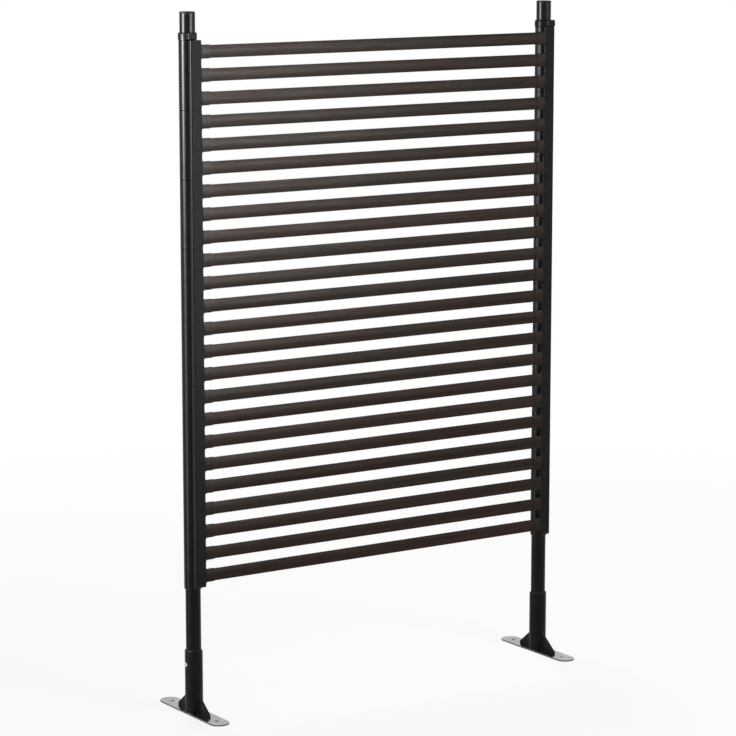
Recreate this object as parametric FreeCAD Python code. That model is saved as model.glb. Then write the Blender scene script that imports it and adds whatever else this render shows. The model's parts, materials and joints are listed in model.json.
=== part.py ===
import FreeCAD, Part
import math
import os

# Free-standing slatted garden screen: 24 crowned slats held between two stacks of
# moulded brackets, each stack threaded on a round post that stands in a plated foot.
# X runs along the fence, Y runs away from the viewer, Z is up.
# The origin is on the ground, midway between the two posts.

Vector = FreeCAD.Vector
UP = Vector(0, 0, 1)
REAR = Vector(0, 1, 0)
INWARD = Vector(1, 0, 0)

# Overall layout
post_spacing = 955.0
panel_clearance = 290.0
post_reach_above_stack = 60.0
slat_pitch = 50.0
slats_per_bracket = 3
brackets_per_post = 8

# Slats
slat_height = 28.0
slat_thickness = 6.0
slat_crown = 1.8
slat_edge_round = 0.8

# Posts and end caps
post_diameter = 34.0
post_wall = 1.2
cap_height = 5.5
cap_edge_round = 2.5
cap_plug_length = 18.0
cap_plug_wall = 2.0

# Brackets: a sleeve round the post, a web, a front bar and the slat sockets
sleeve_diameter = 39.0
web_width = 16.0
web_length = 3.3
bar_reach_in = 17.5
bar_reach_out = 10.0
bar_corner_round = 3.5
socket_length = 20.0
socket_wall = 1.0
socket_root_round = 2.5
slat_insertion_in_bar = 4.0
module_edge_chamfer = 0.8
peg_diameter = 4.0
peg_height = 3.0
pip_diameter = 6.0
pip_height = 0.8

# Top collars, with a round shoulder and a lug over the bar
collar_diameter = 41.0
collar_height = 16.0
collar_shoulder_height = 7.0
collar_rim_width = 0.6
lug_reach_front = 29.0
lug_reach_in = 8.0
lug_reach_out = 13.0
lug_corner_round = 3.0
lug_top_round = 2.6
lug_undercut = 2.4

# Stop rings under the brackets, each with a grub screw
stop_ring_diameter = 38.6
stop_ring_height = 7.0
stop_ring_chamfer = 1.0
stop_screw_diameter = 4.0
stop_screw_length = 2.0
stop_screw_key = 2.0
stop_screw_key_depth = 1.1

# Feet: a socket with a front and a rear rib
foot_socket_diameter = 40.0
foot_socket_top = 145.0
foot_socket_floor = 12.0
foot_socket_shoulder = 2.6
rib_reach = 68.0
rib_height = 41.0
rib_tip_height = 3.0
rib_thickness = 6.0
rib_root_round = 3.0

# Base plates
plate_length = 260.0
plate_width = 45.0
plate_thickness = 3.0
plate_edge_chamfer = 0.4
anchor_hole_spacing = 193.0
anchor_hole_diameter = 8.0

# Screws that lock the posts in their feet
lock_screw_height = 112.0
lock_screw_diameter = 6.0
lock_screw_length = 10.0
lock_head_diameter = 10.0
lock_head_height = 3.0
lock_head_round = 1.4
lock_spotface_depth = 0.8
lock_spotface_margin = 0.6
lock_key = 4.0
lock_key_depth = 1.6

# Countersunk screws that hold the feet on their plates
base_screw_diameter = 5.0
base_screw_spacing = 20.0
base_screw_length = 11.0
base_head_diameter = 10.0
base_head_height = 2.8
base_head_sink = 0.15
base_key = 3.0
base_key_depth = 1.6

# Clearances
slat_play = 0.1
slat_end_play = 0.5
sleeve_running_clearance = 0.08
post_fit_clearance = 0.06
cap_fit_clearance = 0.1
screw_clearance = 0.1
peg_clearance = 0.1
screw_tip_clearance = 0.2
cut_overrun = 1.0

# How near two sizes must be, as a share of them, to count as the same
same_size_share = 1e-6

# Sizes worked out from the ones above
post_radius = post_diameter / 2
sleeve_radius = sleeve_diameter / 2
socket_radius = foot_socket_diameter / 2
running_radius = post_radius + sleeve_running_clearance
post_place = post_spacing / 2
module_height = slat_pitch * slats_per_bracket
stack_top = panel_clearance + module_height * brackets_per_post
total_height = stack_top + post_reach_above_stack
slat_count = slats_per_bracket * brackets_per_post
bar_depth = slat_thickness + 2 * (slat_play + socket_wall)
bar_back = -(sleeve_radius + web_length)
bar_front = bar_back - bar_depth
bar_middle = (bar_back + bar_front) / 2
bar_centre = (bar_reach_in - bar_reach_out) / 2
slat_half_length = post_place - bar_reach_in + slat_insertion_in_bar - slat_end_play
post_bottom = plate_thickness + foot_socket_floor
post_top = total_height - cap_height
ring_bottom = panel_clearance - stop_ring_height

os.makedirs("parts", exist_ok=True)


def place(shape, x=0, y=0, z=0):
    """A copy of the shape moved to a new place."""
    copy = shape.copy()
    copy.translate(Vector(x, y, z))
    return copy


def mirrored(shape):
    """The same piece for the right-hand side."""
    return shape.mirror(Vector(0, 0, 0), INWARD)


def block(low, high):
    """A box between two corners."""
    size = high - low
    return Part.makeBox(size.x, size.y, size.z, low)


def rod(radius, start, direction, length):
    """A solid cylinder from its first face along a direction."""
    return Part.makeCylinder(radius, length, start, direction)


def bore_through(radius, low, height):
    """A cutting cylinder on the post's axis that runs past both ends."""
    return rod(radius, UP * (low - cut_overrun), UP, height + 2 * cut_overrun)


def edges_along(shape, direction):
    """The straight edges that run along a direction."""
    chosen = []
    for edge in shape.Edges:
        if not isinstance(edge.Curve, Part.Line):
            continue
        if abs(abs(edge.Curve.Direction.dot(direction)) - 1) < same_size_share:
            chosen.append(edge)
    return chosen


def edges_at_height(shape, height):
    """The edges that lie flat at one height."""
    chosen = []
    for edge in shape.Edges:
        box = edge.BoundBox
        if abs(box.ZMin - height) + abs(box.ZMax - height) < same_size_share * total_height:
            chosen.append(edge)
    return chosen


def prism(wire, depth):
    """A solid pushed out from a closed flat wire."""
    return Part.Face(wire).extrude(depth)


def hexagon(across_flats, centre, axis, depth):
    """A six-sided key recess, sunk along an axis from its centre."""
    corner_radius = across_flats / math.sqrt(3)
    side = Vector(-axis.z, axis.x, axis.y) * corner_radius
    other = axis.cross(side)
    points = []
    for step in range(7):
        angle = math.tau * step / 6
        points.append(centre + side * math.cos(angle) + other * math.sin(angle))
    return prism(Part.makePolygon(points), axis * depth)


def crowned_bar(length, height, thickness):
    """A bar along X whose front and back bulge, as the slats do."""
    half_edge = thickness / 2 - slat_crown
    half_side = height / 2 - slat_edge_round
    front_top = Vector(0, -half_edge, half_side)
    back_top = Vector(0, half_edge, half_side)
    back_bottom = Vector(0, half_edge, -half_side)
    front_bottom = Vector(0, -half_edge, -half_side)
    arcs = [
        Part.Arc(front_bottom, Vector(0, -thickness / 2, 0), front_top),
        Part.Arc(front_top, Vector(0, 0, height / 2), back_top),
        Part.Arc(back_top, Vector(0, thickness / 2, 0), back_bottom),
        Part.Arc(back_bottom, Vector(0, 0, -height / 2), front_bottom),
    ]
    wire = Part.Wire([arc.toShape() for arc in arcs])
    return prism(wire, Vector(length, 0, 0))


def make_slat():
    """One slat, centred on the fence, with its centre line at height zero."""
    bar = crowned_bar(2 * slat_half_length, slat_height, slat_thickness)
    return place(bar, -slat_half_length, bar_middle, 0)


def make_front_bar():
    """The upright bar of a bracket, with round corners and chamfered ends."""
    low = Vector(-bar_reach_out, bar_front, 0)
    high = Vector(bar_reach_in, bar_back, module_height)
    bar = block(low, high)
    bar = bar.makeFillet(bar_corner_round, edges_along(bar, UP))
    ends = edges_at_height(bar, 0) + edges_at_height(bar, module_height)
    return bar.makeChamfer(module_edge_chamfer, ends)


def socket_root(height):
    """The round corners where a slat socket leaves the bar, as one flat web."""
    start = bar_reach_in - bar_corner_round
    root = bar_reach_in
    reach = root + socket_root_round
    side = height / 2
    tall = side + socket_root_round
    bend = socket_root_round * (1 - math.sqrt(1 / 2))
    upper = Part.Arc(Vector(root, 0, tall), Vector(root + bend, 0, side + bend), Vector(reach, 0, side))
    lower = Part.Arc(Vector(reach, 0, -side), Vector(root + bend, 0, -side - bend), Vector(root, 0, -tall))
    edges = [
        Part.makeLine(Vector(start, 0, tall), Vector(root, 0, tall)),
        upper.toShape(),
        Part.makeLine(Vector(reach, 0, side), Vector(reach, 0, -side)),
        lower.toShape(),
        Part.makeLine(Vector(root, 0, -tall), Vector(start, 0, -tall)),
        Part.makeLine(Vector(start, 0, -tall), Vector(start, 0, tall)),
    ]
    thickness = slat_thickness - slat_crown
    web = prism(Part.Wire(edges), Vector(0, thickness, 0))
    return place(web, 0, bar_middle - thickness / 2, 0)


def peg_hole():
    """The hole under a bracket or collar that the peg of the piece below enters."""
    radius = peg_diameter / 2 + peg_clearance
    start = Vector(bar_centre, bar_middle, -cut_overrun)
    return rod(radius, start, UP, peg_height + peg_clearance + cut_overrun)


def make_bracket():
    """One moulded bracket on the left post's axis, with its foot at height zero."""
    sleeve = rod(sleeve_radius, Vector(0, 0, 0), UP, module_height)
    rims = edges_at_height(sleeve, 0) + edges_at_height(sleeve, module_height)
    sleeve = sleeve.makeChamfer(module_edge_chamfer, rims)
    web_low = Vector(-web_width / 2, bar_back - module_edge_chamfer, module_edge_chamfer)
    web_high = Vector(web_width / 2, -post_radius, module_height - module_edge_chamfer)
    body = sleeve.fuse([block(web_low, web_high), make_front_bar()])

    outer_height = slat_height + 2 * (slat_play + socket_wall)
    outer_start = bar_reach_in - bar_corner_round
    outer_end = bar_reach_in + socket_length
    outer = crowned_bar(outer_end - outer_start, outer_height, bar_depth)
    pocket_start = bar_reach_in - slat_insertion_in_bar
    pocket_length = outer_end + cut_overrun - pocket_start
    pocket = crowned_bar(pocket_length, slat_height + 2 * slat_play, slat_thickness + 2 * slat_play)
    root = socket_root(outer_height)
    sockets = []
    pockets = []
    for number in range(slats_per_bracket):
        centre = (number + 0.5) * slat_pitch
        sockets.append(place(outer, outer_start, bar_middle, centre))
        sockets.append(place(root, 0, 0, centre))
        pockets.append(place(pocket, pocket_start, bar_middle, centre))
    body = body.fuse(sockets)

    pip_place = Vector(bar_centre, bar_front + pip_height, module_height / 2)
    pip = rod(pip_diameter / 2, pip_place, -REAR, 2 * pip_height)
    peg_place = Vector(bar_centre, bar_middle, module_height - cut_overrun)
    peg = rod(peg_diameter / 2, peg_place, UP, peg_height + cut_overrun)
    body = body.fuse([pip, peg])
    cuts = pockets + [bore_through(running_radius, 0, module_height), peg_hole()]
    return body.cut(cuts).removeSplitter()


def make_collar_ring():
    """The collar's round body, whose shoulder curves in to a thin rim at the post."""
    wide = collar_diameter / 2
    narrow = running_radius + collar_rim_width
    shoulder = collar_height - collar_shoulder_height
    bend_out = narrow + (wide - narrow) * math.sqrt(1 / 2)
    bend_up = shoulder + collar_shoulder_height * math.sqrt(1 / 2)
    curve = Part.Arc(Vector(wide, 0, shoulder), Vector(bend_out, 0, bend_up), Vector(narrow, 0, collar_height))
    edges = [
        Part.makeLine(Vector(0, 0, 0), Vector(wide, 0, 0)),
        Part.makeLine(Vector(wide, 0, 0), Vector(wide, 0, shoulder)),
        curve.toShape(),
        Part.makeLine(Vector(narrow, 0, collar_height), Vector(0, 0, collar_height)),
        Part.makeLine(Vector(0, 0, collar_height), Vector(0, 0, 0)),
    ]
    return Part.Face(Part.Wire(edges)).revolve(Vector(0, 0, 0), UP, 360)


def make_collar():
    """The collar that closes the top of a bracket stack, with its lug over the bar."""
    lug_low = Vector(-lug_reach_out, -lug_reach_front, 0)
    lug = block(lug_low, Vector(lug_reach_in, 0, collar_height))
    front_edges = [edge for edge in edges_along(lug, UP) if edge.BoundBox.YMax < 0]
    lug = lug.makeFillet(lug_corner_round, front_edges)
    lug = lug.makeFillet(lug_top_round, edges_at_height(lug, collar_height))
    outer_foot = [edge for edge in edges_at_height(lug, 0) if edge.BoundBox.XMax < -bar_reach_out]
    lug = lug.makeChamfer(lug_undercut, outer_foot)
    cuts = [bore_through(running_radius, 0, collar_height), peg_hole()]
    return make_collar_ring().fuse(lug).cut(cuts).removeSplitter()


def make_stop_ring():
    """The ring that carries the bracket stack, with a threaded hole at the rear."""
    ring = rod(stop_ring_diameter / 2, Vector(0, 0, 0), UP, stop_ring_height)
    ring = ring.makeChamfer(stop_ring_chamfer, edges_at_height(ring, 0))
    bore = bore_through(post_radius + post_fit_clearance, 0, stop_ring_height)
    hole_radius = (stop_screw_diameter + screw_clearance) / 2
    hole_start = UP * (stop_ring_height / 2)
    hole = rod(hole_radius, hole_start, REAR, stop_ring_diameter / 2 + cut_overrun)
    return ring.cut([bore, hole])


def make_stop_screw():
    """The grub screw in the rear of the stop ring."""
    start = Vector(0, post_radius + screw_tip_clearance, stop_ring_height / 2)
    screw = rod(stop_screw_diameter / 2, start, REAR, stop_screw_length)
    key_place = start + REAR * (stop_screw_length - stop_screw_key_depth)
    key = hexagon(stop_screw_key, key_place, REAR, stop_screw_key_depth + cut_overrun)
    return screw.cut(key)


def make_post():
    """The steel tube, with the hole that the lock screw enters."""
    length = post_top - post_bottom
    tube = rod(post_radius, UP * post_bottom, UP, length)
    bore = bore_through(post_radius - post_wall, post_bottom, length)
    hole_radius = (lock_screw_diameter + screw_clearance) / 2
    hole = rod(hole_radius, UP * lock_screw_height, -INWARD, post_radius + cut_overrun)
    return tube.cut([bore, hole])


def make_cap():
    """The domed end cap with its hollow plug."""
    dome = rod(post_radius, UP * post_top, UP, cap_height)
    dome = dome.makeFillet(cap_edge_round, edges_at_height(dome, total_height))
    plug_radius = post_radius - post_wall - cap_fit_clearance
    plug_bottom = post_top - cap_plug_length
    plug = rod(plug_radius, UP * plug_bottom, UP, cap_plug_length)
    hollow_start = UP * (plug_bottom - cut_overrun)
    hollow = rod(plug_radius - cap_plug_wall, hollow_start, UP, cap_plug_length + cut_overrun)
    return dome.fuse(plug).cut(hollow)


def rib_plan():
    """A rib seen from above: round at its tip and flared where it meets the socket."""
    side = rib_thickness / 2
    inner = (post_radius + socket_radius) / 2
    flare_x = side + rib_root_round
    flare_y = math.sqrt((socket_radius + rib_root_round) ** 2 - flare_x ** 2)
    wall_share = socket_radius / (socket_radius + rib_root_round)
    wall_x = flare_x * wall_share
    wall_y = flare_y * wall_share
    turn = (math.pi + math.atan2(-flare_y, -flare_x) % math.tau) / 2
    middle_x = flare_x + rib_root_round * math.cos(turn)
    middle_y = flare_y + rib_root_round * math.sin(turn)
    tip = rib_reach - side
    right_flare = Part.Arc(Vector(wall_x, wall_y, 0), Vector(middle_x, middle_y, 0), Vector(side, flare_y, 0))
    left_flare = Part.Arc(Vector(-side, flare_y, 0), Vector(-middle_x, middle_y, 0), Vector(-wall_x, wall_y, 0))
    nose = Part.Arc(Vector(side, tip, 0), Vector(0, rib_reach, 0), Vector(-side, tip, 0))
    edges = [
        Part.makeLine(Vector(side, inner, 0), Vector(wall_x, wall_y, 0)),
        right_flare.toShape(),
        Part.makeLine(Vector(side, flare_y, 0), Vector(side, tip, 0)),
        nose.toShape(),
        Part.makeLine(Vector(-side, tip, 0), Vector(-side, flare_y, 0)),
        left_flare.toShape(),
        Part.makeLine(Vector(-wall_x, wall_y, 0), Vector(-side, inner, 0)),
        Part.makeLine(Vector(-side, inner, 0), Vector(side, inner, 0)),
    ]
    return Part.Wire(edges)


def make_rib():
    """The rear rib of a foot, sloping down from the socket to its tip."""
    low = plate_thickness
    side = socket_radius
    profile = [
        Vector(-side, 0, low),
        Vector(-side, rib_reach, low),
        Vector(-side, rib_reach, low + rib_tip_height),
        Vector(-side, socket_radius, low + rib_height),
        Vector(-side, 0, low + rib_height),
        Vector(-side, 0, low),
    ]
    slope = prism(Part.makePolygon(profile), Vector(2 * side, 0, 0))
    plan = place(prism(rib_plan(), UP * rib_height), 0, 0, low)
    return plan.common(slope)


def make_foot():
    """The foot casting: socket, floor, two ribs and its screw holes."""
    height = foot_socket_top - plate_thickness
    socket = rod(socket_radius, UP * plate_thickness, UP, height)
    socket = socket.makeChamfer(foot_socket_shoulder, edges_at_height(socket, foot_socket_top))
    rear_rib = make_rib()
    front_rib = rear_rib.mirror(Vector(0, 0, 0), REAR)
    body = socket.fuse([rear_rib, front_rib]).removeSplitter()
    bore = rod(post_radius + post_fit_clearance, UP * post_bottom, UP, height)
    hole_radius = (lock_screw_diameter + screw_clearance) / 2
    lock_centre = UP * lock_screw_height
    lock_hole = rod(hole_radius, lock_centre, -INWARD, socket_radius + cut_overrun)
    spot_radius = lock_head_diameter / 2 + lock_spotface_margin
    spot_place = lock_centre - INWARD * (socket_radius - lock_spotface_depth)
    spotface = rod(spot_radius, spot_place, -INWARD, lock_spotface_depth + cut_overrun)
    thread_radius = (base_screw_diameter + screw_clearance) / 2
    thread_length = base_head_sink + base_screw_length + screw_tip_clearance
    cuts = [bore, lock_hole, spotface]
    for side in (-1, 1):
        start = Vector(0, side * base_screw_spacing / 2, 0)
        cuts.append(rod(thread_radius, start, UP, thread_length))
    return body.cut(cuts)


def make_plate():
    """The steel base plate with round ends, two anchor holes and two countersinks."""
    straight = plate_length - plate_width
    low = Vector(-plate_width / 2, -straight / 2, 0)
    high = Vector(plate_width / 2, straight / 2, plate_thickness)
    ends = []
    for side in (-1, 1):
        ends.append(rod(plate_width / 2, REAR * (side * straight / 2), UP, plate_thickness))
    plate = block(low, high).fuse(ends).removeSplitter()
    plate = plate.makeChamfer(plate_edge_chamfer, edges_at_height(plate, plate_thickness))
    holes = []
    for side in (-1, 1):
        anchor = Vector(0, side * anchor_hole_spacing / 2, -cut_overrun)
        holes.append(rod(anchor_hole_diameter / 2, anchor, UP, plate_thickness + 2 * cut_overrun))
        holes.append(base_screw_form(screw_clearance / 2, side * base_screw_spacing / 2, cut_overrun))
    return plate.cut(holes)


def base_screw_form(growth, y, sink):
    """The outline of a countersunk screw, grown for its hole, pointing up."""
    head_radius = base_head_diameter / 2 + growth
    shank_radius = base_screw_diameter / 2 + growth
    seat = Vector(0, y, base_head_sink)
    head = Part.makeCone(head_radius, shank_radius, base_head_height, seat)
    pieces = [rod(shank_radius, seat, UP, base_screw_length)]
    if sink:
        pieces.append(rod(head_radius, Vector(0, y, -sink), UP, base_head_sink + sink))
    return head.fuse(pieces)


def make_base_screws():
    """The two countersunk screws that come up through the plate."""
    screws = []
    for side in (-1, 1):
        y = side * base_screw_spacing / 2
        key = hexagon(base_key, Vector(0, y, 0), UP, base_head_sink + base_key_depth)
        screws.append(base_screw_form(0, y, 0).cut(key))
    return Part.makeCompound(screws)


def make_lock_screw():
    """The button-head screw on the outer side of the socket."""
    seat = Vector(-(socket_radius - lock_spotface_depth), 0, lock_screw_height)
    head = rod(lock_head_diameter / 2, seat, -INWARD, lock_head_height)
    outer_x = seat.x - lock_head_height
    crown = []
    for edge in head.Edges:
        if abs(edge.BoundBox.XMax - outer_x) < same_size_share * post_spacing:
            crown.append(edge)
    head = head.makeFillet(lock_head_round, crown)
    inside_head = seat - INWARD * (lock_head_height / 2)
    shank_length = lock_screw_length + lock_head_height / 2
    shank = rod(lock_screw_diameter / 2, inside_head, INWARD, shank_length)
    key_place = Vector(outer_x + lock_key_depth, 0, lock_screw_height)
    key = hexagon(lock_key, key_place, -INWARD, lock_key_depth + cut_overrun)
    return head.fuse(shank).cut(key)


def write(name, shape):
    """Saves one named piece."""
    shape.exportStep("parts/" + name + ".step")


def main():
    slat = make_slat()
    for number in range(slat_count):
        height = panel_clearance + (number + 0.5) * slat_pitch
        write(f"slat_{number + 1:02d}", place(slat, 0, 0, height))

    bracket = make_bracket()
    pieces = {
        "top_collar": place(make_collar(), 0, 0, stack_top),
        "post_tube": make_post(),
        "post_cap": make_cap(),
        "stop_ring": place(make_stop_ring(), 0, 0, ring_bottom),
        "stop_screw": place(make_stop_screw(), 0, 0, ring_bottom),
        "foot_socket": make_foot(),
        "base_plate": make_plate(),
        "lock_screw": make_lock_screw(),
        "base_screws": make_base_screws(),
    }
    for number in range(brackets_per_post):
        height = panel_clearance + number * module_height
        pieces[f"bracket_{number + 1}"] = place(bracket, 0, 0, height)
    for name, shape in pieces.items():
        left = place(shape, -post_place)
        write("left_" + name, left)
        write("right_" + name, mirrored(left))


main()
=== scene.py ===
import bpy
import json
import math
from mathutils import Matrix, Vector


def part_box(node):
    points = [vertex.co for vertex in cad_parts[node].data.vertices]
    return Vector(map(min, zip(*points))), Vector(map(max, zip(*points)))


# Looks for the slatted garden screen: finishes for every piece, a pale studio
# floor, soft lamps and the camera. All lengths are in metres.

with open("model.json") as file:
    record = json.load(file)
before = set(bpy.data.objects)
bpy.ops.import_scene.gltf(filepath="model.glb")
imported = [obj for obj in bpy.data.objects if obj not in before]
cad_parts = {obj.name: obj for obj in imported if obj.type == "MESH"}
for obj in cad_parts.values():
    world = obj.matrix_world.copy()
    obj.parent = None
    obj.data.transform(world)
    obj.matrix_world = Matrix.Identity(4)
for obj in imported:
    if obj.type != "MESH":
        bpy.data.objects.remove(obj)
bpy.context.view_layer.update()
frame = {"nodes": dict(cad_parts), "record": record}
nodes = frame["nodes"]

# Camera
camera_place = Vector((-3.646, -5.434, 1.849))
camera_turn = math.radians(33.77)
camera_drop = math.radians(9.69)
camera_lens_mm = 142.8

# Studio
floor_half_side = 80.0
floor_fade_start = 1.2
floor_fade_end = 3.2
floor_colour = (0.93, 0.93, 0.93, 1)
floor_roughness = 0.9
floor_shadow_share = 0.20
background_colour = (1, 1, 1, 1)
background_level = 1.0
ambient_level = 0.28

# Softboxes: name, centre, width, height and brightness, and where a grid narrows
# the beam, its aim and the beam's width in degrees
softbox_aim = Vector((0, 0, 1.0))
open_beam = 180
matt_softboxes = (
    ("front_softbox", Vector((0.80, -2.80, 1.70)), 1.3, 1.7, 9.0),
    ("rear_softbox", Vector((0.60, 2.40, 3.20)), 1.6, 1.6, 10.0),
)
sheen_softboxes = (
    ("front_sheen", Vector((0.64, -2.78, 1.50)), 1.15, 1.24, 83.0, Vector((-0.85, 0, 1.36)), 41),
    ("right_sheen", Vector((2.40, -2.60, 1.62)), 1.6, 1.20, 5.0),
    ("rear_sheen", Vector((1.55, 2.35, 0.42)), 1.4, 0.75, 12.0),
)
strip_softboxes = (
    ("left_strip_high", Vector((-2.45, 0.145, 1.80)), 0.30, 1.32, 335.0),
    ("left_strip_middle", Vector((-2.45, 0.145, 0.76)), 0.30, 0.76, 32.0),
    ("left_strip_low", Vector((-2.45, 0.145, 0.10)), 0.30, 0.18, 55.0),
)
bare_metal_slots = ("plate_steel", "screw_steel")
slat_slots = ("slat_composite",)

# Places that the finishes follow, from the boxes of the pieces. A bracket's sockets
# begin at its box's inner side and end at its bar, and its rear side is its sleeve's.
socket_length = 0.020
sleeve_margin = 0.0007
slat_low, slat_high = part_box("slat_01")
slat_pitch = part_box("slat_02")[0].z - slat_low.z
slat_middle_z = (slat_low.z + slat_high.z) / 2
post_low, post_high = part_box("right_post_tube")
post_x = (post_low.x + post_high.x) / 2
bracket_low, bracket_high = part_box("right_bracket_1")
bar_inner_x = bracket_low.x + socket_length
past_sleeve_radius = bracket_high.y + sleeve_margin

# Values that several finishes share
dust_colour = (0.16, 0.15, 0.13, 1)
worn_coat_colour = (0.050, 0.049, 0.046, 1)
rubbed_amount = 0.50
coat_specular = 0.10

# The part of a noise's range that is stretched from one look to the other
streak_span = (0.36, 0.64)
mottle_span = (0.30, 0.70)
wide_mottle_span = (0.25, 0.75)


class Wiring:
    """Adds and joins the nodes of one material or group."""

    def __init__(self, tree):
        self.tree = tree

    def add(self, kind, **settings):
        """A node of one kind, with its properties set."""
        node = self.tree.nodes.new("ShaderNode" + kind)
        for name, value in settings.items():
            setattr(node, name, value)
        return node

    def join(self, source, target):
        """Feeds a socket, or sets it where the source is a plain value."""
        if isinstance(source, bpy.types.NodeSocket):
            self.tree.links.new(source, target)
        else:
            target.default_value = source

    def parts(self, vector):
        """The X, Y and Z of a vector."""
        node = self.add("SeparateXYZ")
        self.join(vector, node.inputs[0])
        return node.outputs

    def math(self, operation, first, second=0.0):
        """One arithmetic step."""
        node = self.add("Math", operation=operation)
        self.join(first, node.inputs[0])
        self.join(second, node.inputs[1])
        return node.outputs[0]

    def span(self, value, low, high, out_low=0.0, out_high=1.0):
        """A value's range moved to another range, with soft ends."""
        node = self.add("MapRange", interpolation_type="SMOOTHSTEP")
        for name, number in (("Value", value), ("From Min", low), ("From Max", high),
                             ("To Min", out_low), ("To Max", out_high)):
            self.join(number, node.inputs[name])
        return node.outputs["Result"]

    def blend(self, share, first, second):
        """Two colours mixed by a share."""
        node = self.add("Mix", data_type="RGBA", blend_type="MIX")
        self.join(share, node.inputs["Factor"])
        self.join(first, node.inputs["A"])
        self.join(second, node.inputs["B"])
        return node.outputs["Result"]

    def noise(self, place, scale, detail, roughness=0.55):
        """Fractal noise between 0 and 1."""
        node = self.add("TexNoise", noise_dimensions="3D")
        self.join(place, node.inputs["Vector"])
        self.join(scale, node.inputs["Scale"])
        self.join(detail, node.inputs["Detail"])
        self.join(roughness, node.inputs["Roughness"])
        return node.outputs["Fac"]

    def bump(self, height, distance):
        """A surface normal from a height."""
        node = self.add("Bump")
        self.join(height, node.inputs["Height"])
        self.join(distance, node.inputs["Distance"])
        self.join(1.0, node.inputs["Strength"])
        return node.outputs["Normal"]


def new_group(name, inputs, outputs):
    """An empty shared node group with named float inputs and outputs."""
    tree = bpy.data.node_groups.new(name, "ShaderNodeTree")
    for label, value in inputs:
        socket = tree.interface.new_socket(label, in_out="INPUT", socket_type="NodeSocketFloat")
        socket.default_value = value
    for label in outputs:
        tree.interface.new_socket(label, in_out="OUTPUT", socket_type="NodeSocketFloat")
    source = tree.nodes.new("NodeGroupInput")
    target = tree.nodes.new("NodeGroupOutput")
    return tree, source.outputs, target.inputs


def make_streak_group():
    """Fine lines along X, as on an extruded or brushed bar, with slower waves."""
    inputs = (("Length Scale", 6.0), ("Cross Scale", 500.0))
    tree, given, wanted = new_group("lengthwise_streaks", inputs, ("Fine", "Broad"))
    wire = Wiring(tree)
    place = wire.parts(wire.add("TexCoord").outputs["Object"])
    drawn_out = wire.add("CombineXYZ")
    for axis, scale in (("X", "Length Scale"), ("Y", "Cross Scale"), ("Z", "Cross Scale")):
        wire.join(wire.math("MULTIPLY", place[axis], given[scale]), drawn_out.inputs[axis])
    lines = wire.noise(drawn_out.outputs[0], scale=1.0, detail=4.0, roughness=0.6)
    waves = wire.noise(drawn_out.outputs[0], scale=0.16, detail=2.0)
    wire.join(lines, wanted["Fine"])
    wire.join(waves, wanted["Broad"])
    return tree


def make_skin_group():
    """The grained skin of moulded or powder-coated pieces, with slow mottling."""
    inputs = (("Grain Scale", 1400.0), ("Mottle Scale", 22.0))
    tree, given, wanted = new_group("grained_skin", inputs, ("Grain", "Mottle"))
    wire = Wiring(tree)
    place = wire.add("TexCoord").outputs["Object"]
    wire.join(wire.noise(place, given["Grain Scale"], detail=2.0), wanted["Grain"])
    wire.join(wire.noise(place, given["Mottle Scale"], detail=4.0), wanted["Mottle"])
    return tree


def make_dust_group():
    """A mask of the thin dust that settles where a surface faces up."""
    inputs = (("Amount", 0.3), ("Patch Scale", 60.0))
    tree, given, wanted = new_group("settled_dust", inputs, ("Mask",))
    wire = Wiring(tree)
    facing = wire.parts(wire.add("NewGeometry").outputs["Normal"])
    faces_up = wire.span(facing["Z"], low=0.35, high=0.95)
    cloud = wire.noise(wire.add("TexCoord").outputs["Object"], given["Patch Scale"], detail=4.0)
    patches = wire.span(cloud, low=0.35, high=0.7, out_low=0.35, out_high=1.0)
    share = wire.math("MULTIPLY", faces_up, patches)
    wire.join(wire.math("MULTIPLY", share, given["Amount"]), wanted["Mask"])
    return tree


def make_wear_group():
    """A mask of the edges and corners that handling has rubbed, broken into patches."""
    inputs = (("Width", 0.001), ("Amount", 0.5))
    tree, given, wanted = new_group("rubbed_edges", inputs, ("Mask",))
    wire = Wiring(tree)
    rounded = wire.add("Bevel", samples=6)
    wire.join(given["Width"], rounded.inputs["Radius"])
    likeness = wire.add("VectorMath", operation="DOT_PRODUCT")
    wire.join(rounded.outputs["Normal"], likeness.inputs[0])
    wire.join(wire.add("NewGeometry").outputs["Normal"], likeness.inputs[1])
    edge = wire.span(likeness.outputs["Value"], low=0.999, high=0.93)
    cloud = wire.noise(wire.add("TexCoord").outputs["Object"], scale=90.0, detail=4.0)
    patches = wire.span(cloud, low=0.38, high=0.62, out_low=0.25, out_high=1.0)
    share = wire.math("MULTIPLY", edge, patches)
    wire.join(wire.math("MULTIPLY", share, given["Amount"]), wanted["Mask"])
    return tree


streak_group = make_streak_group()
skin_group = make_skin_group()
dust_group = make_dust_group()
wear_group = make_wear_group()


def place_group(wire, tree, **values):
    """A shared group placed in a material with its own values."""
    node = wire.add("Group", node_tree=tree)
    for name, value in values.items():
        node.inputs[name.replace("_", " ").title()].default_value = value
    return node.outputs


def new_material(name, **sockets):
    """A material with one principled shader and its constant sockets set."""
    material = bpy.data.materials.new(name)
    material.use_nodes = True
    material.node_tree.nodes.clear()
    wire = Wiring(material.node_tree)
    shader = wire.add("BsdfPrincipled")
    output = wire.add("OutputMaterial")
    wire.join(shader.outputs["BSDF"], output.inputs["Surface"])
    for label, value in sockets.items():
        shader.inputs[label.replace("_", " ")].default_value = value
    return material, wire, shader.inputs


def aged(wire, colour, worn_colour, wear, dust):
    """A colour with its rubbed edges and its dust."""
    rubbed = wire.blend(wear["Mask"], colour, worn_colour)
    return wire.blend(dust["Mask"], rubbed, dust_colour)


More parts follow.
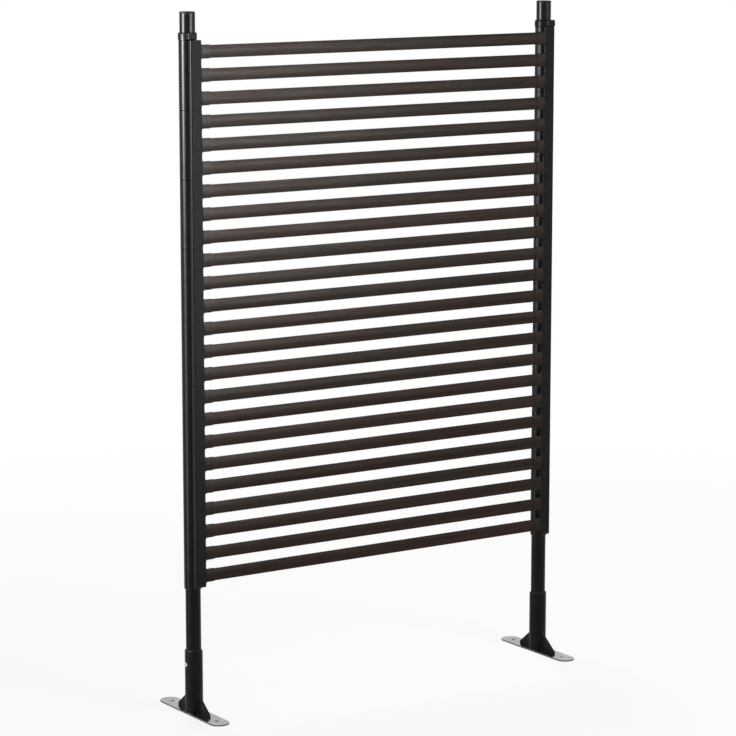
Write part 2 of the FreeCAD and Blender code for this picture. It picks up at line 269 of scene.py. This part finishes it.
def slat_number(wire):
    """Which slat a point lies on, counted up from 0 at the lowest."""
    place = wire.parts(wire.add("TexCoord").outputs["Object"])
    from_lowest = wire.math("SUBTRACT", place["Z"], slat_middle_z - slat_pitch / 2)
    return wire.math("FLOOR", wire.math("DIVIDE", from_lowest, slat_pitch))


def own_value(wire, number):
    """A value from 0 to 1 that belongs to one number."""
    noise = wire.add("TexWhiteNoise", noise_dimensions="1D")
    wire.join(number, noise.inputs["W"])
    return noise.outputs["Value"]


def make_slat_finish():
    """Dark brown composite with a lengthwise grain, its brown uneven between and along the slats."""
    worn_colour = (0.040, 0.026, 0.022, 1)
    hue_seed_step = 0.5
    own_hue_share = 0.30
    own_tone_share = 0.16
    grain_share = 0.50
    band_share = 0.34
    rubbed_smoothness = 0.10
    skin_depth_share = 0.3
    material, wire, shader = new_material("slat_composite_finish", Specular_IOR_Level=coat_specular)
    streaks = place_group(wire, streak_group, length_scale=7.0, cross_scale=620.0)
    skin = place_group(wire, skin_group, grain_scale=700.0, mottle_scale=9.0)
    dust = place_group(wire, dust_group, amount=0.10, patch_scale=45.0)
    wear = place_group(wire, wear_group, width=0.0018, amount=rubbed_amount)

    number = slat_number(wire)
    own_tone = own_value(wire, number)
    own_hue = own_value(wire, wire.math("ADD", number, hue_seed_step))
    patches = wire.math("ADD", skin["Mottle"], wire.math("MULTIPLY", own_hue, own_hue_share))
    hue = wire.span(patches, low=0.48, high=0.82)
    dark = wire.blend(hue, (0.0050, 0.0033, 0.0022, 1), (0.0059, 0.0026, 0.0018, 1))
    light = wire.blend(hue, (0.0230, 0.0161, 0.0114, 1), (0.0272, 0.0130, 0.0099, 1))
    tone = wire.math("MULTIPLY", own_tone, own_tone_share)
    grain = wire.math("MULTIPLY", wire.span(streaks["Fine"], *streak_span), grain_share)
    bands = wire.math("MULTIPLY", wire.span(streaks["Broad"], *streak_span), band_share)
    share = wire.math("ADD", wire.math("ADD", tone, grain), bands)
    colour = wire.blend(share, dark, light)
    wire.join(aged(wire, colour, worn_colour, wear, dust), shader["Base Color"])

    rough = wire.span(streaks["Fine"], *streak_span, out_low=0.54, out_high=0.45)
    smoother = wire.math("MULTIPLY", wear["Mask"], rubbed_smoothness)
    wire.join(wire.math("SUBTRACT", rough, smoother), shader["Roughness"])
    height = wire.math("ADD", streaks["Fine"], wire.math("MULTIPLY", skin["Grain"], skin_depth_share))
    wire.join(wire.bump(height, distance=0.00012), shader["Normal"])
    return material


def bracket_masks(wire):
    """Masks of a bracket's slat sockets, its bar's front and its flat sides beside the sleeve."""
    place = wire.parts(wire.add("TexCoord").outputs["Object"])
    facing = wire.parts(wire.add("TexCoord").outputs["Normal"])
    from_middle = wire.math("ABSOLUTE", place["X"])
    in_socket = wire.math("LESS_THAN", from_middle, bar_inner_x)
    faces_front = wire.span(facing["Y"], low=-0.93, high=-0.99)
    bar_front = wire.math("MULTIPLY", faces_front, wire.math("SUBTRACT", 1.0, in_socket))

    across = wire.math("SUBTRACT", from_middle, post_x)
    across_squared = wire.math("MULTIPLY", across, across)
    depth_squared = wire.math("MULTIPLY", place["Y"], place["Y"])
    from_post = wire.math("SQRT", wire.math("ADD", across_squared, depth_squared))
    past_sleeve = wire.math("GREATER_THAN", from_post, past_sleeve_radius)
    faces_side = wire.span(wire.math("ABSOLUTE", facing["X"]), low=0.93, high=0.98)
    flat_side = wire.math("MULTIPLY", faces_side, past_sleeve)
    return in_socket, bar_front, flat_side


def make_bracket_finish():
    """Charcoal resin: polished sleeve and edges, textured bar front, browner slat sockets."""
    bar_dullness = 0.37
    side_dullness = 0.60
    socket_dullness = 0.15
    polished_grain_share = 0.08
    material, wire, shader = new_material("bracket_resin_finish", Specular_IOR_Level=coat_specular)
    skin = place_group(wire, skin_group, grain_scale=620.0, mottle_scale=30.0)
    dust = place_group(wire, dust_group, amount=0.06, patch_scale=70.0)
    wear = place_group(wire, wear_group, width=0.0018, amount=rubbed_amount)
    in_socket, bar_front, flat_side = bracket_masks(wire)

    mottle = wire.span(skin["Mottle"], *mottle_span)
    colour = wire.blend(mottle, (0.0028, 0.0028, 0.0027, 1), (0.0045, 0.0044, 0.0042, 1))
    bar_colour = wire.blend(mottle, (0.0040, 0.0040, 0.0038, 1), (0.0075, 0.0073, 0.0069, 1))
    socket_colour = wire.blend(mottle, (0.0105, 0.0069, 0.0055, 1), (0.0136, 0.0090, 0.0072, 1))
    colour = wire.blend(bar_front, colour, bar_colour)
    colour = wire.blend(in_socket, colour, socket_colour)
    wire.join(aged(wire, colour, worn_coat_colour, wear, dust), shader["Base Color"])

    rough = wire.span(skin["Mottle"], *wide_mottle_span, out_low=0.28, out_high=0.33)
    for mask, dullness in ((in_socket, socket_dullness), (bar_front, bar_dullness),
                           (flat_side, side_dullness)):
        rough = wire.math("ADD", rough, wire.math("MULTIPLY", mask, dullness))
    wire.join(rough, shader["Roughness"])
    grain_share = wire.span(bar_front, low=0.0, high=1.0, out_low=polished_grain_share)
    texture = wire.math("MULTIPLY", skin["Grain"], grain_share)
    wire.join(wire.bump(texture, distance=0.00014), shader["Normal"])
    return material


def make_cap_finish():
    """Charcoal resin with a fine grained skin."""
    material, wire, shader = new_material("cap_resin_finish", Specular_IOR_Level=coat_specular)
    skin = place_group(wire, skin_group, grain_scale=700.0, mottle_scale=30.0)
    dust = place_group(wire, dust_group, amount=0.06, patch_scale=70.0)
    wear = place_group(wire, wear_group, width=0.0016, amount=rubbed_amount)
    mottle = wire.span(skin["Mottle"], *mottle_span)
    colour = wire.blend(mottle, (0.0030, 0.0030, 0.0030, 1), (0.0050, 0.0050, 0.0050, 1))
    wire.join(aged(wire, colour, worn_coat_colour, wear, dust), shader["Base Color"])
    rough = wire.span(skin["Mottle"], *wide_mottle_span, out_low=0.42, out_high=0.50)
    wire.join(rough, shader["Roughness"])
    wire.join(wire.bump(skin["Grain"], distance=0.000015), shader["Normal"])
    return material


def make_coated_finish(name, dark, light, rough_low, rough_high):
    """Black powder coat on steel: an even skin with a slight orange peel."""
    material, wire, shader = new_material(name, Specular_IOR_Level=coat_specular)
    peel = place_group(wire, skin_group, grain_scale=420.0, mottle_scale=12.0)
    dust = place_group(wire, dust_group, amount=0.10, patch_scale=50.0)
    wear = place_group(wire, wear_group, width=0.0016, amount=rubbed_amount)
    colour = wire.blend(wire.span(peel["Mottle"], *mottle_span), dark, light)
    wire.join(aged(wire, colour, worn_coat_colour, wear, dust), shader["Base Color"])
    rough = wire.span(peel["Mottle"], *mottle_span, out_low=rough_low, out_high=rough_high)
    wire.join(rough, shader["Roughness"])
    wire.join(wire.bump(peel["Grain"], distance=0.000005), shader["Normal"])
    return material


def steel_surface(wire):
    """Steel's rolling marks, its mottling, and a share of both from dark to light."""
    marks_share = 0.35
    marks = place_group(wire, streak_group, length_scale=30.0, cross_scale=700.0)["Fine"]
    mottle = place_group(wire, skin_group, grain_scale=800.0, mottle_scale=35.0)["Mottle"]
    both = wire.math("ADD", wire.math("MULTIPLY", marks, marks_share),
                     wire.math("MULTIPLY", mottle, 1 - marks_share))
    return marks, mottle, wire.span(both, *mottle_span)


def make_screw_finish():
    """Bright zinc-plated steel with faint rolling marks and slow clouding."""
    material, wire, shader = new_material("screw_steel_finish", Metallic=1.0)
    marks, mottle, share = steel_surface(wire)
    colour = wire.blend(share, (0.60, 0.60, 0.60, 1), (0.75, 0.75, 0.75, 1))
    wire.join(colour, shader["Base Color"])
    wire.join(wire.span(mottle, *mottle_span, out_low=0.20, out_high=0.28), shader["Roughness"])
    wire.join(wire.bump(marks, distance=0.000012), shader["Normal"])
    return material


def make_plate_finish():
    """Bright rolled steel whose cut edges and hole walls are dull raw cut, and painted near-black as the
    shade inside the holes and along the edges.
    """
    # Near-black painted shade for the cut edges and hole walls
    cut_edge_shade_colour = (0.055, 0.055, 0.052, 1)
    cut_dullness = 0.4
    material, wire, shader = new_material("plate_steel_finish", Metallic=1.0)
    marks, mottle, share = steel_surface(wire)
    facing = wire.parts(wire.add("TexCoord").outputs["Normal"])
    upright = wire.span(wire.math("ABSOLUTE", facing["Z"]), low=0.3, high=0.1)
    face = wire.blend(share, (0.22, 0.22, 0.215, 1), (0.38, 0.38, 0.37, 1))
    # Painted shade: the upright cut edges and hole walls take the near-black colour, standing in for the
    # shade in the holes and under the plate's edges
    wire.join(wire.blend(upright, face, cut_edge_shade_colour), shader["Base Color"])
    rough = wire.span(mottle, *mottle_span, out_low=0.05, out_high=0.09)
    duller = wire.math("MULTIPLY", upright, cut_dullness)
    wire.join(wire.math("ADD", rough, duller), shader["Roughness"])
    wire.join(wire.bump(marks, distance=0.000003), shader["Normal"])
    return material


def dress_nodes():
    """Gives each piece the finish of its material slot."""
    finishes = {
        "slat_composite": make_slat_finish(),
        "bracket_resin": make_bracket_finish(),
        "cap_resin": make_cap_finish(),
        "post_paint": make_coated_finish(
            "post_paint_finish", dark=(0.0022, 0.0022, 0.0020, 1), light=(0.0036, 0.0036, 0.0032, 1),
            rough_low=0.27, rough_high=0.32),
        "foot_paint": make_coated_finish(
            "foot_paint_finish", dark=(0.0018, 0.0018, 0.0015, 1), light=(0.0030, 0.0030, 0.0026, 1),
            rough_low=0.30, rough_high=0.36),
        "plate_steel": make_plate_finish(),
        "screw_steel": make_screw_finish(),
    }
    slots = {part["node"]: part["material_slot"] for part in frame["record"]["subparts"]}
    for name, piece in nodes.items():
        for holder in piece.material_slots:
            holder.material = finishes[slots[name]]


def shown_background(wire):
    """A mask that is 1 where the camera, metal or glass looks at the background."""
    path = wire.add("LightPath").outputs
    seen = wire.math("MAXIMUM", path["Is Camera Ray"], path["Is Glossy Ray"])
    return wire.math("MAXIMUM", seen, path["Is Transmission Ray"])


def make_world():
    """A white studio that lights the object softly from all round."""
    world = bpy.data.worlds.new("studio")
    world.use_nodes = True
    world.node_tree.nodes.clear()
    wire = Wiring(world.node_tree)
    background = wire.add("Background")
    output = wire.add("OutputWorld")
    wire.join(background_colour, background.inputs["Color"])
    level = wire.span(shown_background(wire), 0.0, 1.0, ambient_level, background_level)
    wire.join(level, background.inputs["Strength"])
    wire.join(background.outputs[0], output.inputs["Surface"])
    bpy.context.scene.world = world


def make_floor_finish():
    """Pale floor: white where it is seen, with the object's shadow on it nearby."""
    material, wire, shader = new_material(
        "floor_finish", Base_Color=floor_colour, Roughness=floor_roughness, Specular_IOR_Level=0.0)
    placed = {node.type: node for node in material.node_tree.nodes}
    glow = wire.add("Emission")
    wire.join(background_colour, glow.inputs["Color"])
    wire.join(background_level, glow.inputs["Strength"])
    distance = wire.add("VectorMath", operation="LENGTH")
    wire.join(wire.add("TexCoord").outputs["Object"], distance.inputs[0])
    near = wire.span(distance.outputs["Value"], floor_fade_end, floor_fade_start, 0.0, floor_shadow_share)
    white_share = wire.math("MULTIPLY", wire.math("SUBTRACT", 1.0, near), shown_background(wire))
    mix = wire.add("MixShader")
    wire.join(white_share, mix.inputs[0])
    wire.join(placed["BSDF_PRINCIPLED"].outputs["BSDF"], mix.inputs[1])
    wire.join(glow.outputs[0], mix.inputs[2])
    wire.join(mix.outputs[0], placed["OUTPUT_MATERIAL"].inputs["Surface"])
    return material


def make_floor():
    """A wide flat square on the ground."""
    square = ((-1, -1), (1, -1), (1, 1), (-1, 1))
    corners = [(x * floor_half_side, y * floor_half_side, 0) for x, y in square]
    mesh = bpy.data.meshes.new("floor")
    mesh.from_pydata(corners, [], [(0, 1, 2, 3)])
    mesh.materials.append(make_floor_finish())
    floor = bpy.data.objects.new("floor", mesh)
    bpy.context.scene.collection.objects.link(floor)


def pieces_without(name, slots):
    """A collection of the pieces that have none of these material slots."""
    chosen = bpy.data.collections.new(name)
    for part in frame["record"]["subparts"]:
        if part["material_slot"] not in slots:
            chosen.objects.link(nodes[part["node"]])
    return chosen


def add_softbox(name, place, width, height, brightness, aim=softbox_aim, beam=open_beam):
    """A rectangular lamp turned to its aim, unseen by the camera.

    A grid sends the same energy into a narrower beam, so the energy comes down by
    what it gains along the axis, and the brightness there is the one given.
    """
    half_beam = math.radians(beam) / 2
    grid_gain = math.tan(half_beam) / (math.tan(half_beam) - half_beam)
    lamp = bpy.data.lights.new(name, "AREA")
    lamp.shape = "RECTANGLE"
    lamp.size = width
    lamp.size_y = height
    lamp.spread = 2 * half_beam
    lamp.energy = brightness * width * height * math.pi / grid_gain
    holder = bpy.data.objects.new(name, lamp)
    holder.location = place
    holder.rotation_euler = (aim - place).to_track_quat("-Z", "Y").to_euler()
    holder.visible_camera = False
    bpy.context.scene.collection.objects.link(holder)
    return holder


def make_softboxes():
    """Some lamps light the matt colours, the others only show in the sheen.

    The sheen lamps leave out bare metal, which would mirror them, and the strips,
    which are for the round posts and sleeves, leave out the slats as well.
    """
    for softbox in matt_softboxes:
        add_softbox(*softbox).visible_glossy = False
    coated = pieces_without("coated_pieces", bare_metal_slots)
    upright = pieces_without("upright_pieces", bare_metal_slots + slat_slots)
    for softboxes, receivers in ((sheen_softboxes, coated), (strip_softboxes, upright)):
        for softbox in softboxes:
            holder = add_softbox(*softbox)
            holder.visible_diffuse = False
            holder.light_linking.receiver_collection = receivers


def make_camera():
    """The camera at the photograph's place."""
    lens = bpy.data.cameras.new("camera")
    lens.lens = camera_lens_mm
    holder = bpy.data.objects.new("camera", lens)
    holder.location = camera_place
    holder.rotation_euler = (math.pi / 2 - camera_drop, 0, -camera_turn)
    bpy.context.scene.collection.objects.link(holder)
    bpy.context.scene.camera = holder


bpy.context.scene.view_settings.view_transform = "Standard"
make_camera()
make_world()
make_floor()
make_softboxes()
dress_nodes()
